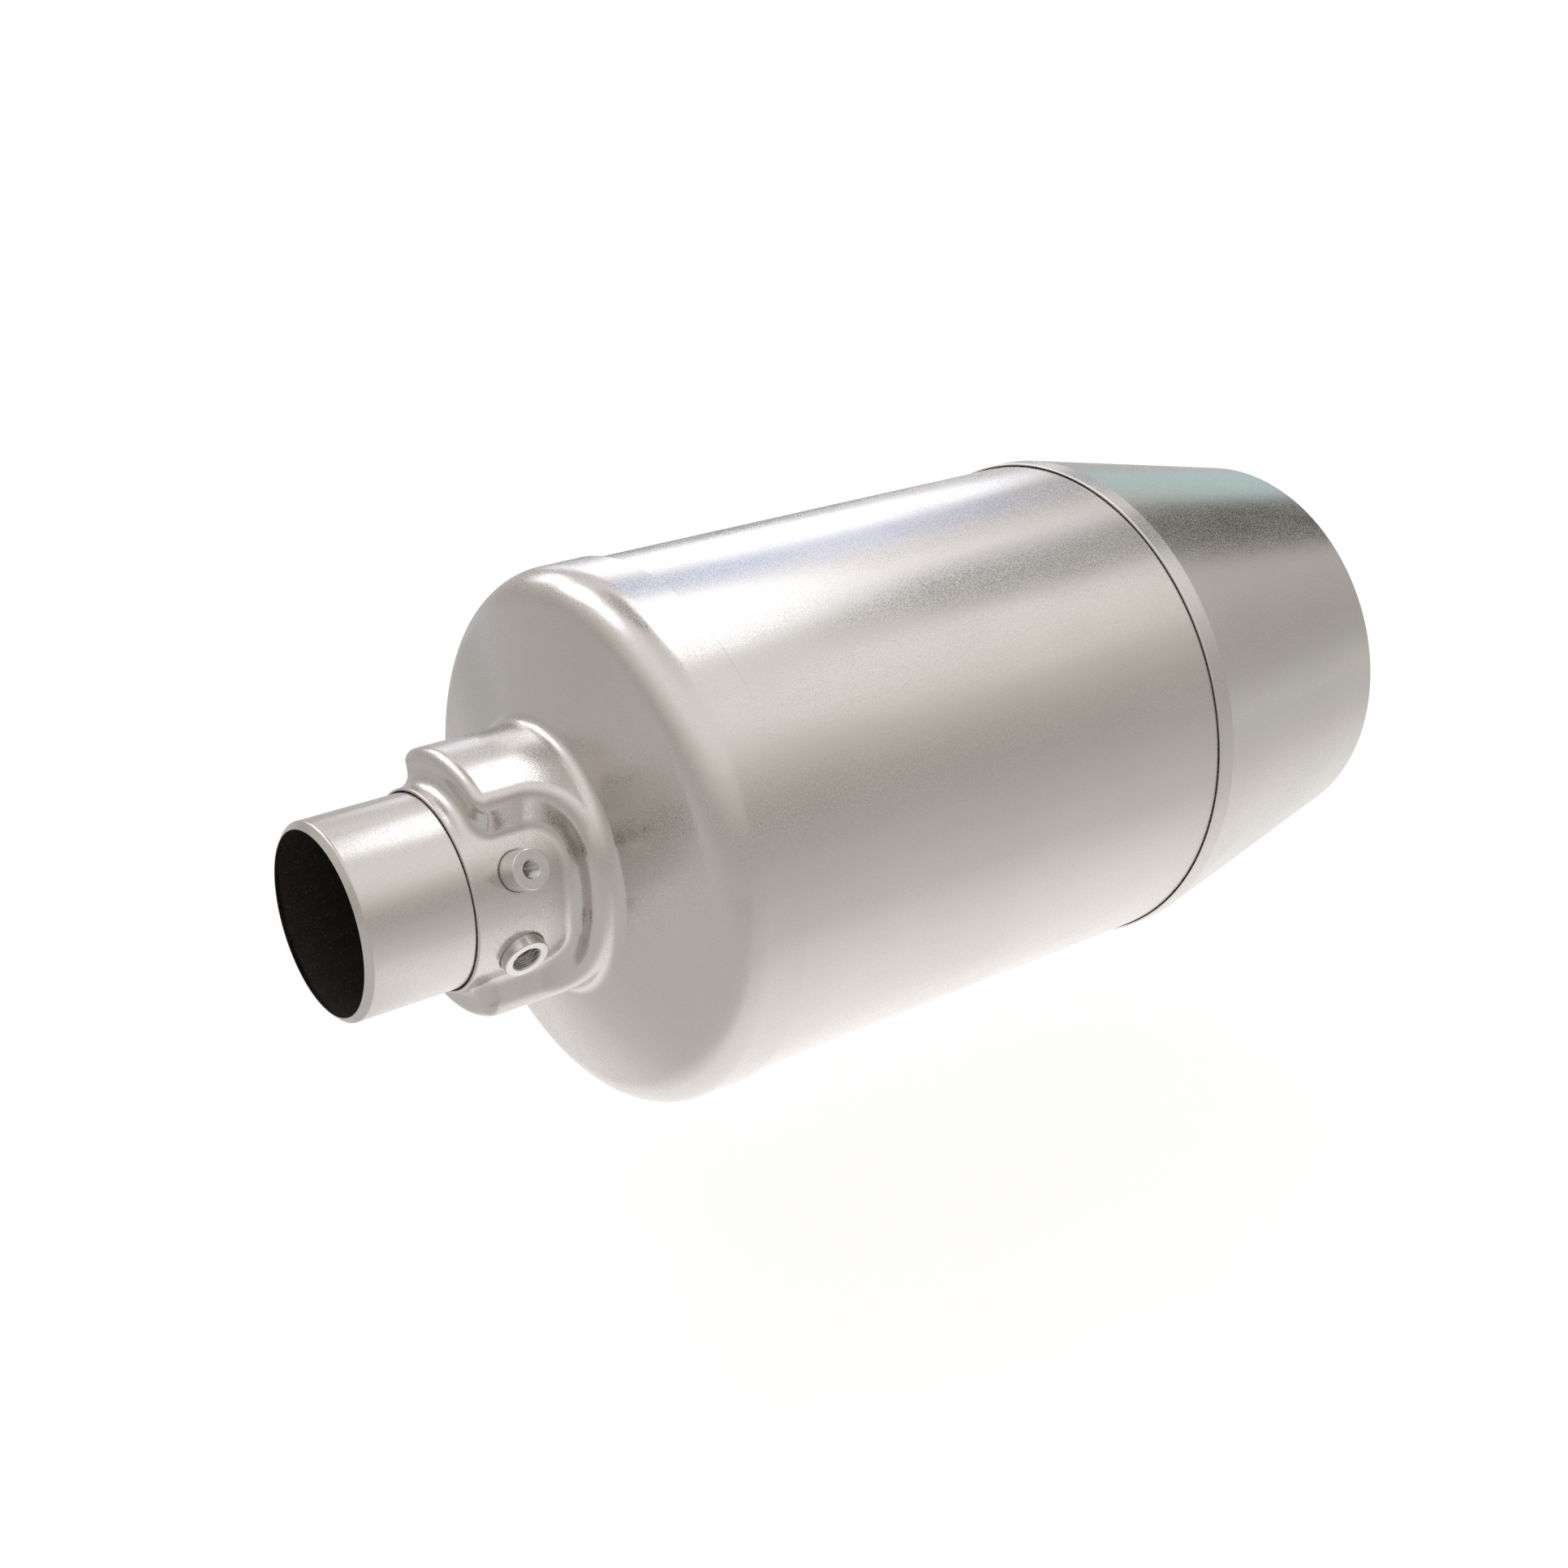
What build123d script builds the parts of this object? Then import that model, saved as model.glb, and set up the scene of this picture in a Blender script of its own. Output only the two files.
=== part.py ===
from build123d import *
from math import cos, radians, sin, tan
import os

# An SCR catalytic converter lying along X. Stations are distances along X from the outlet pipe's mouth,
# radii are measured from X, and the sensor pocket faces -Y. All lengths are in millimetres.

# Outlet pipe: a tube whose free end is sized to the joint and swaged in at its mouth as a lead-in.
# From just before the housing's collar on it keeps the drawn tube's smaller radius.
pipe_radius = 63.5
tube_radius = 62.95
sizing_end_gap = 0.3
sizing_taper = 2.0
pipe_wall = 2.0
mouth_draw_in = 4.7
mouth_land = 0.6
lead_in_length = 3.7
lead_in_inner_length = 4.3
pipe_past_throat = 1.7

# End housing: one deep drawn sheet from the collar on the pipe to the cap over the shell.
housing_sheet = 2.4
collar_start = 72.6
collar_length = 13.4
collar_clearance = 0.65
collar_lip_round = 1.4
neck_radius = 87.4
neck_length = 72.4
face_slope = 14.9
face_fillet = 6.5
knuckle_radius = 27.5
cap_clearance = 0.1
cap_reach = 51.0
cap_lip_round = 1.9

# Sensor pocket, pressed into the neck until its floor lies on the pipe.
# Its corners, rim and floor bend keep their share of the depth from the neck down to the floor, and
# the back corners are limited by the floor's room in front of the walls, where they meet each other.
pocket_wall_depth = 36.1
pocket_wall_draft = 10.0
pocket_back_land = 14.9
pocket_front_corner_share = 0.374
pocket_back_corner_share = 1.215
pocket_back_corner_room_share = 0.87
pocket_rim_share = 0.374
pocket_floor_share = 0.336

# Sensor bosses, welded to the pipe and standing through holes in the pocket floor.
boss_setback = 19.1
boss_spread = 25.0
boss_chamfer = 0.5
boss_seat_gap = 0.1
boss_hole_clearance = 0.6
sensor_tip_clearance = 1.0
temperature_boss_radius = 12.6
temperature_boss_height = 18.5
temperature_bore_radius = 5.4
temperature_countersink = 0.6
nox_boss_radius = 15.0
nox_boss_height = 6.0
nox_bore_radius = 9.25
nox_countersink = 0.75

# Outer shell and the inner can that carries the catalyst.
shell_radius = 177.5
shell_sheet = 2.0
shell_cap_overlap = 29.0
blanket_thickness = 16.6
can_sheet = 1.5
can_start_gap = 3.0
can_end_gap = 6.0
mat_thickness = 4.6
seat_gap = 0.2

# Catalyst bricks in gas order from the outlet back to the inlet: one slip brick, two reduction bricks.
slip_brick_length = 76.2
reduction_brick_length = 127.0
brick_row_start = 16.0
brick_row_end = 19.8
brick_spacing = 12.0
mat_margin = 6.0
ring_sheet = 1.5
ring_flange_height = 9.0
ring_sleeve_length = 8.0

# Outlet funnel between the pipe and the inner can.
liner_sheet = 1.5
funnel_grip = 17.0
funnel_insulation = 14.0
funnel_throat_round = 10.0
funnel_knuckle = 15.0
funnel_skirt = 30.0
insulation_clearance = 0.4
rim_allowance = 3.5

# Inlet cone over the far end of the shell, with its inner liner.
cone_sheet = 2.0
band_clearance = 0.1
band_overlap = 10.0
band_length = 12.9
band_lip_round = 1.2
cone_length = 192.6
cone_taper = 37.6
inlet_skirt = 22.0
inlet_skirt_grip = 12.0
mouth_seam = 12.0
insulation_least = 3.0

# Flow distributor, a perforated plate in the inlet liner.
distributor_station = 46.0
distributor_sheet = 1.5
distributor_flange = 14.0
distributor_rim = 10.85
distributor_rings = 4
distributor_hole_share = 1 / 3

# How far cutting tools run past what they cut, and how near a point counts as on a place.
overrun = 5.0
tolerance = 0.01


def revolved(points):
    """Turns the closed (station, radius) outline about X, with its seam on the side away from the pocket."""
    return revolve(make_face(Polyline(*points, close=True)), axis=Axis.X)


def ring(start, end, inner, outer):
    return revolved([(start, inner), (end, inner), (end, outer), (start, outer)])


def solid_bar(start, end, radius):
    return revolved([(start, 0), (end, 0), (end, radius), (start, radius)])


def sheet(points, bends, thickness):
    """Turns a bent sheet about X. The points run along its outer side from the outlet to the inlet,
    and each point between the ends has a bend radius. Both ends are cut square to X."""
    first, last = points[0], points[-1]
    before = points[-2]
    slope = (last[1] - before[1]) / (last[0] - before[0])
    line = FilletPolyline(*points[:-1], (last[0] + overrun, last[1] + overrun * slope), radius=bends)
    section = make_face(Wire(line.edges()).offset_2d(thickness, kind=Kind.INTERSECTION, side=Side.RIGHT))
    widest = max(radius for _, radius in points)
    return revolve(section, axis=Axis.X) & solid_bar(first[0], last[0], widest + overrun)


# Stations and radii that several pieces share.
collar_radius = tube_radius + collar_clearance + housing_sheet
neck_start = collar_start + collar_length
pocket_length = neck_length - pocket_back_land
pocket_depth = neck_radius - collar_radius
pocket_back_corner = min(
    pocket_back_corner_share * pocket_depth,
    pocket_back_corner_room_share * (collar_radius - pocket_wall_depth))
boss_station = neck_start + boss_setback
face_base = neck_start + neck_length - neck_radius * tan(radians(face_slope))
cap_radius = shell_radius + cap_clearance + housing_sheet


def face_station(radius, inset=0.0):
    """Station of the conical end face at a radius, moved inwards by an inset."""
    slope = radians(face_slope)
    return face_base + radius * tan(slope) + inset / cos(slope)


cap_end = face_station(cap_radius) + cap_reach
shell_start = cap_end - shell_cap_overlap
can_start = shell_start + can_start_gap
brick_lengths = {
    "slip": slip_brick_length, "rear_reduction": reduction_brick_length,
    "front_reduction": reduction_brick_length}
row_length = sum(brick_lengths.values()) + (len(brick_lengths) - 1) * brick_spacing
can_end = can_start + brick_row_start + row_length + brick_row_end
shell_end = can_end + can_end_gap
can_outer = shell_radius - shell_sheet - blanket_thickness - 2 * seat_gap
can_inner = can_outer - can_sheet
brick_radius = can_inner - mat_thickness
skirt_inner = can_outer + seat_gap
skirt_outer = skirt_inner + liner_sheet
band_start = shell_end - band_overlap
band_radius = shell_radius + band_clearance + cone_sheet
cone_start = band_start + band_length
cone_end = cone_start + cone_length
cone_slope = cone_taper / cone_length
cone_mouth_radius = band_radius - cone_taper
throat_radius = tube_radius + seat_gap + liner_sheet
funnel_depth = housing_sheet + funnel_insulation
throat_end = face_station(throat_radius, funnel_depth)
pipe_length = throat_end + pipe_past_throat


def cone_radius(station, inset=0.0):
    """Radius of the inlet cone at a station, moved inwards by an inset."""
    return band_radius - (station - cone_start) * cone_slope - inset * (1 + cone_slope ** 2) ** 0.5


def distance_from_axis(point):
    return (point.Y ** 2 + point.Z ** 2) ** 0.5


def along(edge):
    """Three points of an edge: its ends and its middle."""
    return [edge @ 0, edge @ 0.5, edge @ 1]


def on_seam(edge):
    return all(abs(point.Z) < tolerance and point.Y > 0 for point in along(edge))


def round_edges(form, radius, start, end):
    """Edges that keep one radius between two stations, without the seam of the turned faces."""
    return [
        edge for edge in form.edges()
        if not on_seam(edge) and all(
            abs(distance_from_axis(point) - radius) < tolerance
            and start - tolerance < point.X < end + tolerance for point in along(edge))]


def upright_edges(form, station):
    """Edges that stand away from X in the plane of one station."""
    return [
        edge for edge in form.edges()
        if not on_seam(edge)
        and all(abs(point.X - station) < tolerance for point in along(edge))
        and abs(distance_from_axis(edge @ 0) - distance_from_axis(edge @ 1)) > 1]


def pocket_space(inset):
    """The space in front of the neck: a shallow vee of two drafted walls and one square back wall."""
    draft = tan(radians(pocket_wall_draft))
    depth = pocket_wall_depth - inset / cos(radians(pocket_wall_draft))
    half = neck_radius + overrun
    front = 2 * neck_radius
    section = make_face(Polyline(
        (-depth, 0), (-depth - half * draft, half), (-front, half),
        (-front, -half), (-depth - half * draft, -half), close=True))
    return extrude(Plane.YZ.offset(collar_start) * section, neck_start + pocket_length + inset - collar_start)


def pocket_cutter(inset):
    """The pocket's space with the cylinder of its floor left standing in it."""
    reach = neck_start + pocket_length + overrun
    return pocket_space(inset) - solid_bar(collar_start - overrun, reach, collar_radius - inset)


def neck_form(inset, end):
    """The filled neck, face and cap, moved inwards by an inset, with every bend of the drawing."""
    neck = neck_radius - inset
    cap = cap_radius - inset
    start = collar_start - (overrun if inset else 0)
    step = neck_start + inset
    back = neck_start + pocket_length + inset
    floor = collar_radius - inset
    form = revolved([
        (start, 0), (start, floor), (step, floor), (step, neck), (face_station(neck, inset), neck),
        (face_station(cap, inset), cap), (end, cap), (end, 0)])
    form = form - pocket_cutter(inset)

    form = fillet(upright_edges(form, step), pocket_front_corner_share * pocket_depth - inset)
    form = fillet(upright_edges(form, back), pocket_back_corner + inset)
    form = fillet(round_edges(form, neck, step, back), pocket_rim_share * pocket_depth - inset)
    form = fillet(round_edges(form, floor, step, back), pocket_floor_share * pocket_depth + inset)
    foot = face_station(neck, inset)
    form = fillet(round_edges(form, neck, foot, foot), face_fillet + inset)
    shoulder = face_station(cap, inset)
    return fillet(round_edges(form, cap, shoulder, shoulder), knuckle_radius - inset)


def radial_bar(angle, start, end, radius):
    """A bar square to X at the boss station, leaning up from -Y by an angle."""
    outward = Vector(0, -cos(radians(angle)), sin(radians(angle)))
    base = Vector(boss_station, 0, 0) + outward * start
    return extrude(Plane(origin=base, z_dir=outward) * Circle(radius), end - start)


def sensor_boss(angle, radius, height, bore, countersink):
    top = collar_radius + height
    boss = radial_bar(angle, tube_radius - overrun, top, radius)
    outward = Vector(0, -cos(radians(angle)), sin(radians(angle)))
    crown = boss.edges().filter_by(GeomType.CIRCLE).sort_by(lambda edge: edge.arc_center.dot(outward))[-1]
    boss = chamfer(crown, boss_chamfer)
    boss = boss - radial_bar(angle, tube_radius - 2 * overrun, top + overrun, bore)
    mouth = [
        edge for edge in boss.edges().filter_by(GeomType.CIRCLE)
        if abs(edge.radius - bore) < tolerance and edge.arc_center.dot(outward) > top - tolerance]
    boss = chamfer(mouth, countersink)
    saddle = solid_bar(boss_station - 2 * radius, boss_station + 2 * radius, tube_radius + boss_seat_gap)
    return boss - saddle


boss_sizes = {
    "temperature_sensor_boss": (
        boss_spread, temperature_boss_radius, temperature_boss_height,
        temperature_bore_radius, temperature_countersink),
    "nox_sensor_boss": (
        -boss_spread, nox_boss_radius, nox_boss_height, nox_bore_radius, nox_countersink),
}


def outlet_pipe():
    mouth = pipe_radius - mouth_draw_in
    sized_end = collar_start - sizing_end_gap
    tube_start = sized_end + sizing_taper
    pipe = revolved([
        (0, mouth), (lead_in_inner_length, pipe_radius - pipe_wall), (sized_end, pipe_radius - pipe_wall),
        (tube_start, tube_radius - pipe_wall), (pipe_length, tube_radius - pipe_wall),
        (pipe_length, tube_radius), (tube_start, tube_radius), (sized_end, pipe_radius),
        (lead_in_length, pipe_radius), (0, mouth + mouth_land)])
    for angle, _, _, hole, _ in boss_sizes.values():
        pipe = pipe - radial_bar(angle, 0, 2 * pipe_radius, hole + sensor_tip_clearance)
    return pipe


def end_housing():
    housing = neck_form(0, cap_end) - neck_form(housing_sheet, cap_end + overrun)
    for angle, radius, _, _, _ in boss_sizes.values():
        housing = housing - radial_bar(angle, 0, 2 * pipe_radius, radius + boss_hole_clearance)

    collar_lip = round_edges(housing, collar_radius, collar_start, collar_start)
    housing = fillet(collar_lip, collar_lip_round)
    return fillet(round_edges(housing, cap_radius, cap_end, cap_end), cap_lip_round)


def funnel_points():
    """Outer side of the funnel, which follows the end face at the insulation's thickness."""
    knuckle = face_station(skirt_outer, funnel_depth)
    return [
        (pipe_length - funnel_grip, throat_radius), (throat_end, throat_radius),
        (knuckle, skirt_outer), (knuckle + funnel_skirt, skirt_outer)]


def outlet_insulation():
    """Moulded fibre that fills the neck and the face between the housing and the gas path,
    with a plain cut past the pocket that stays clear of its rounded corners."""
    gap = insulation_clearance
    inset = housing_sheet + gap
    start = neck_start + inset + rim_allowance
    end = shell_start - gap
    neck = neck_radius - inset
    cap = cap_radius - inset
    grip, throat, knuckle, _ = funnel_points()
    bore = tube_radius + gap
    skirt = knuckle[1] + gap
    outside = FilletPolyline(
        (start, bore), (start, neck), (face_station(neck, inset), neck),
        (face_station(cap, inset), cap), (end + overrun, cap), radius=[0, 0, knuckle_radius - inset])
    inside = FilletPolyline(
        (end + overrun, skirt), (knuckle[0] - gap, skirt), (throat[0] - gap, throat[1] + gap),
        (grip[0] - gap, grip[1] + gap), (grip[0] - gap, bore), (start, bore),
        radius=[funnel_knuckle + gap, funnel_throat_round, 0, 0])
    section = make_face(outside + Line((end + overrun, cap), (end + overrun, skirt)) + inside)
    moulding = revolve(section, axis=Axis.X) & solid_bar(start, end, cap + overrun)
    return moulding - pocket_space(inset + rim_allowance)


def shell_insulation():
    """Blanket between can and shell, with its bore eased where the two skirts grip the can."""
    start = shell_start + insulation_clearance
    end = shell_end - insulation_clearance
    bore = can_outer + seat_gap
    eased = skirt_outer + seat_gap
    outer = shell_radius - shell_sheet - seat_gap
    outlet_step = funnel_points()[3][0] + insulation_clearance
    inlet_step = can_end - inlet_skirt_grip - insulation_clearance
    return revolved([
        (start, eased), (outlet_step, eased), (outlet_step, bore), (inlet_step, bore),
        (inlet_step, eased), (end, eased), (end, outer), (start, outer)])


def inlet_cone():
    cone = sheet(
        [(band_start, band_radius), (cone_start, band_radius), (cone_end, cone_mouth_radius)],
        [0], cone_sheet)
    return fillet(round_edges(cone, band_radius, band_start, band_start), band_lip_round)


inlet_liner_start = can_end - inlet_skirt_grip
liner_cone_start = inlet_liner_start + inlet_skirt
seam_start = cone_end - mouth_seam


def inlet_liner_points():
    inset = cone_sheet + seat_gap
    return [
        (inlet_liner_start, skirt_outer), (liner_cone_start, skirt_outer),
        (seam_start, cone_radius(seam_start, inset)), (cone_end, cone_radius(cone_end, inset))]


def liner_radius(station, inset=0.0):
    """Radius of the inlet liner's tapering stretch at a station, moved inwards by an inset."""
    first, last = inlet_liner_points()[1:3]
    slope = (first[1] - last[1]) / (last[0] - first[0])
    return first[1] - (station - first[0]) * slope - inset * (1 + slope ** 2) ** 0.5


def inlet_insulation():
    """Moulded fibre wedge between the inlet cone and its liner, ended where it grows thin."""
    start = shell_end + insulation_clearance
    gap = cone_sheet + insulation_clearance

    def thickness(station):
        return cone_radius(station, gap) - liner_radius(station, -insulation_clearance)

    taper = (thickness(cone_start) - thickness(seam_start)) / (seam_start - cone_start)
    end = seam_start - max(0, insulation_least - thickness(seam_start)) / taper
    straight = cone_radius(cone_start, gap)
    outline = [(start, skirt_outer + insulation_clearance), (liner_cone_start, skirt_outer + insulation_clearance)]
    outline += [(end, liner_radius(end, -insulation_clearance)), (end, cone_radius(end, gap))]
    outline += [(cone_start, straight), (start, straight)]
    return revolved(outline)


def flow_distributor():
    """Dished ring flange on the liner's taper and a flat plate with a hexagonal field of holes."""
    plate_start = liner_cone_start + distributor_station
    plate_end = plate_start + distributor_sheet
    flange_end = plate_start + distributor_flange
    outer = liner_sheet + seat_gap
    inner = outer + distributor_sheet
    plate_radius = liner_radius(plate_start, outer)
    dish = revolved([
        (plate_start, 0), (plate_start, plate_radius), (flange_end, liner_radius(flange_end, outer)),
        (flange_end, liner_radius(flange_end, inner)), (plate_end, liner_radius(plate_end, inner)),
        (plate_end, 0)])
    pitch = (plate_radius - distributor_rim) / (distributor_rings + distributor_hole_share)
    places = []
    for row in range(-distributor_rings, distributor_rings + 1):
        count = 2 * distributor_rings + 1 - abs(row)
        for index in range(count):
            places.append(((index - (count - 1) / 2) * pitch, row * pitch * sin(radians(60))))
    holes = Sketch() + [Pos(*place) * Circle(pitch * distributor_hole_share) for place in places]
    return dish - extrude(Plane.YZ.offset(plate_start - overrun) * holes, distributor_sheet + 2 * overrun)


def end_ring(face, direction):
    """Angle ring whose flange bears on a brick's end face and whose sleeve is spot welded to the can."""
    outer = can_inner - seat_gap
    lip = brick_radius - ring_flange_height
    return revolved([
        (face, lip), (face, outer), (face + direction * ring_sleeve_length, outer),
        (face + direction * ring_sleeve_length, outer - ring_sheet),
        (face + direction * ring_sheet, outer - ring_sheet), (face + direction * ring_sheet, lip)])


def spacer_ring(start):
    """Channel ring between two bricks."""
    outer = can_inner - seat_gap
    lip = brick_radius - ring_flange_height
    end = start + brick_spacing
    return revolved([
        (start, lip), (start, outer), (end, outer), (end, lip), (end - ring_sheet, lip),
        (end - ring_sheet, outer - ring_sheet), (start + ring_sheet, outer - ring_sheet),
        (start + ring_sheet, lip)])


def brick_row():
    """Bricks with their mats, and the rings that hold them apart, in order along the can."""
    pieces = {}
    spacers = ["rear_spacer_ring", "front_spacer_ring"]
    station = can_start + brick_row_start
    pieces["outlet_end_ring"] = end_ring(station, -1)
    for name, length in brick_lengths.items():
        pieces[name + "_brick"] = solid_bar(station, station + length, brick_radius)
        pieces[name + "_mat"] = ring(
            station + mat_margin, station + length - mat_margin,
            brick_radius + seat_gap, can_inner - seat_gap)
        station += length
        if spacers:
            pieces[spacers.pop(0)] = spacer_ring(station)
            station += brick_spacing
    pieces["inlet_end_ring"] = end_ring(station, 1)
    return pieces


pieces = {
    "outlet_pipe": outlet_pipe(),
    "end_housing": end_housing(),
    "outlet_funnel": sheet(funnel_points(), [funnel_throat_round, funnel_knuckle], liner_sheet),
    "outlet_insulation": outlet_insulation(),
    "main_shell": ring(shell_start, shell_end, shell_radius - shell_sheet, shell_radius),
    "shell_insulation": shell_insulation(),
    "inner_can": ring(can_start, can_end, can_inner, can_outer),
    "inlet_cone": inlet_cone(),
    "inlet_liner": sheet(inlet_liner_points(), [0, 0], liner_sheet),
    "inlet_insulation": inlet_insulation(),
    "flow_distributor": flow_distributor(),
}
pieces.update({name: sensor_boss(*sizes) for name, sizes in boss_sizes.items()})
pieces.update(brick_row())

os.makedirs("parts", exist_ok=True)
for name, piece in pieces.items():
    export_step(piece, f"parts/{name}.step")
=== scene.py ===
"""Looks of an SCR catalytic converter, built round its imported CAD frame.

The visible sheet metal is worked out again as smooth surfaces in the frame's own place. Lengths in the
classes are in millimetres: stations run along X from the outlet mouth, radii are measured from X, and
angles turn round X from -Y towards +Z.
"""

import logging
import math
from dataclasses import dataclass
from enum import Enum
from typing import ClassVar, Optional, Sequence, Union

import bpy
import numpy as np
from mathutils import Matrix


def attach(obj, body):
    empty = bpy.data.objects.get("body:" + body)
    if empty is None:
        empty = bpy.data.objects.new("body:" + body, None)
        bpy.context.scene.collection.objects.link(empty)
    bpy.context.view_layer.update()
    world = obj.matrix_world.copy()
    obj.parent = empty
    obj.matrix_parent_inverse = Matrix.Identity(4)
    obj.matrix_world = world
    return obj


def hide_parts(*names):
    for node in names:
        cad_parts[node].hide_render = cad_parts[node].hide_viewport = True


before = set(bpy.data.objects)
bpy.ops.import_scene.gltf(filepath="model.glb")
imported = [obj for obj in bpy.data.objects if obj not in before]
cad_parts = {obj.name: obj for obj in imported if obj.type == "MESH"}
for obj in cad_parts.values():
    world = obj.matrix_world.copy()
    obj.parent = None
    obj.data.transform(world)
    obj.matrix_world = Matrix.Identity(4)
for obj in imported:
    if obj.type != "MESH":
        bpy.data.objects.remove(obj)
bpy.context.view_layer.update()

log = logging.getLogger("converter")

MM = 0.001
# For a profile's straight runs, in millimetres: how near to a bend their first and last points stand, up to
# which length a run gets no points, and about how far apart they are
BEND_GUARD = 0.4
SHORT_RUN = 1.5
LONG_STEP = 14
# The wave texture runs through so many radians in one unit at scale 1
WAVE_RADIANS = 20

Colour = tuple[float, float, float]
Corner = tuple[float, float, float]
Place = tuple[float, float, float]
Pair = tuple[float, float]
Value = Union[float, bpy.types.NodeSocket]
Tone = Union[Colour, bpy.types.NodeSocket]


class Slot(Enum):
    """Names of the record's material slots; nothing in the script uses them."""

    BLASTED = "blasted_stainless"
    MACHINED = "machined_stainless"
    INNER = "inner_stainless"
    CERAMIC = "coated_cordierite"
    FIBRE = "fibre_mat"


class Shade(Enum):
    """How a mesh is shaded: one smooth skin, or smooth with its sharp edges kept."""

    SKIN = 180.0
    EDGED = 38.0


# Shader graphs and finishes


class Graph:
    """Node tree of a material or world, with short calls for the nodes that are used."""

    def __init__(self, name: str, world: bool = False) -> None:
        """Starts an empty material or world.

        Args:
            name: its name.
            world: True for a world.
        """
        self.owner = (bpy.data.worlds if world else bpy.data.materials).new(name)
        self.owner.use_nodes = True
        self.tree = self.owner.node_tree
        self.tree.nodes.clear()
        self.output = self.node("ShaderNodeOutputWorld" if world else "ShaderNodeOutputMaterial")
        self.coordinates = self.node("ShaderNodeTexCoord")

    def node(self, kind: str, inputs: Optional[dict] = None, **settings: object) -> bpy.types.Node:
        """Adds a node.

        Args:
            kind: the node's type name.
            inputs: values or sockets for its inputs, by name or number; a colour gets its alpha here.
            settings: properties of the node itself.

        Returns:
            The new node.
        """
        made = self.tree.nodes.new(kind)
        for key, value in settings.items():
            setattr(made, key, value)
        for key, value in (inputs or {}).items():
            socket = made.inputs[key]
            if isinstance(value, bpy.types.NodeSocket):
                self.tree.links.new(value, socket)
            else:
                socket.default_value = (*value, 1.0) if socket.type == "RGBA" else value
        return made

    def noise(self, size: float, detail: float = 2.0, stretch: Optional[Place] = None,
              rough: float = 0.5) -> bpy.types.NodeSocket:
        """Noise on object coordinates.

        Args:
            size: size of its grain in millimetres.
            detail: how many finer layers it has.
            stretch: factors that squeeze the pattern along X, Y and Z.
            rough: weight of the finer layers.

        Returns:
            The noise's value, about 0.5 on average.
        """
        place = self.coordinates.outputs["Object"]
        if stretch is not None:
            place = self.node("ShaderNodeMapping", {"Vector": place, "Scale": stretch}).outputs[0]
        return self.node("ShaderNodeTexNoise", {
            "Vector": place, "Scale": 1 / (size * MM), "Detail": detail, "Roughness": rough}).outputs[0]

    def calc(self, operation: str, first: Value, second: Value = 0.0,
             clamp: bool = False) -> bpy.types.NodeSocket:
        """Does one step of arithmetic; clamp holds the result between 0 and 1."""
        return self.node(
            "ShaderNodeMath", {0: first, 1: second}, operation=operation, use_clamp=clamp).outputs[0]

    def vector(self, operation: str, *inputs: Tone, out: str = "Vector") -> bpy.types.NodeSocket:
        """Does one step of vector arithmetic; out is Value where the result is a number."""
        return self.node("ShaderNodeVectorMath", dict(enumerate(inputs)), operation=operation).outputs[out]

    def spread(self, value: Value, low: float, high: float, start: float = 0.25,
               end: float = 0.75) -> bpy.types.NodeSocket:
        """Maps a value from start and end to low and high, held at both ends."""
        return self.node("ShaderNodeMapRange", {
            "Value": value, "From Min": start, "From Max": end, "To Min": low, "To Max": high}).outputs[0]

    def blend(self, share: Value, first: Tone, second: Tone) -> bpy.types.NodeSocket:
        """Mixes two colours, with the share of the second one."""
        return self.node("ShaderNodeMix", {0: share, 6: first, 7: second}, data_type="RGBA").outputs[2]

    def tint(self, share: Value, colour: Colour, factors: Pair) -> bpy.types.NodeSocket:
        """Mixes a colour's shades by two factors, with the share of the second one."""
        return self.blend(share, *(shaded(colour, factor) for factor in factors))

    def bump(self, height: Value, depth: float, strength: float = 1.0,
             under: Optional[bpy.types.NodeSocket] = None) -> bpy.types.NodeSocket:
        """Tilts the surface by a height field.

        Args:
            height: the field, from 0 to 1.
            depth: depth of the field in millimetres.
            strength: share of the tilt that is kept.
            under: normal of a coarser field below it.

        Returns:
            The tilted normal.
        """
        inputs = {"Height": height, "Distance": depth * MM, "Strength": strength}
        if under is not None:
            inputs["Normal"] = under
        return self.node("ShaderNodeBump", inputs).outputs[0]

    def close(self, last: bpy.types.Node) -> Union[bpy.types.Material, bpy.types.World]:
        """Links the last node to the output and gives the finished material or world."""
        self.tree.links.new(last.outputs[0], self.output.inputs[0])
        return self.owner

    def finish(self, **inputs: Union[Value, Tone]) -> bpy.types.Material:
        """Closes the graph with a principled surface; its inputs' names have underscores for blanks."""
        named = {key.replace("_", " "): value for key, value in inputs.items()}
        return self.close(self.node("ShaderNodeBsdfPrincipled", named))


def shaded(colour: Colour, factor: float) -> Colour:
    """A colour made lighter or darker by a factor."""
    return tuple(min(1.0, part * factor) for part in colour)


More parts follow.
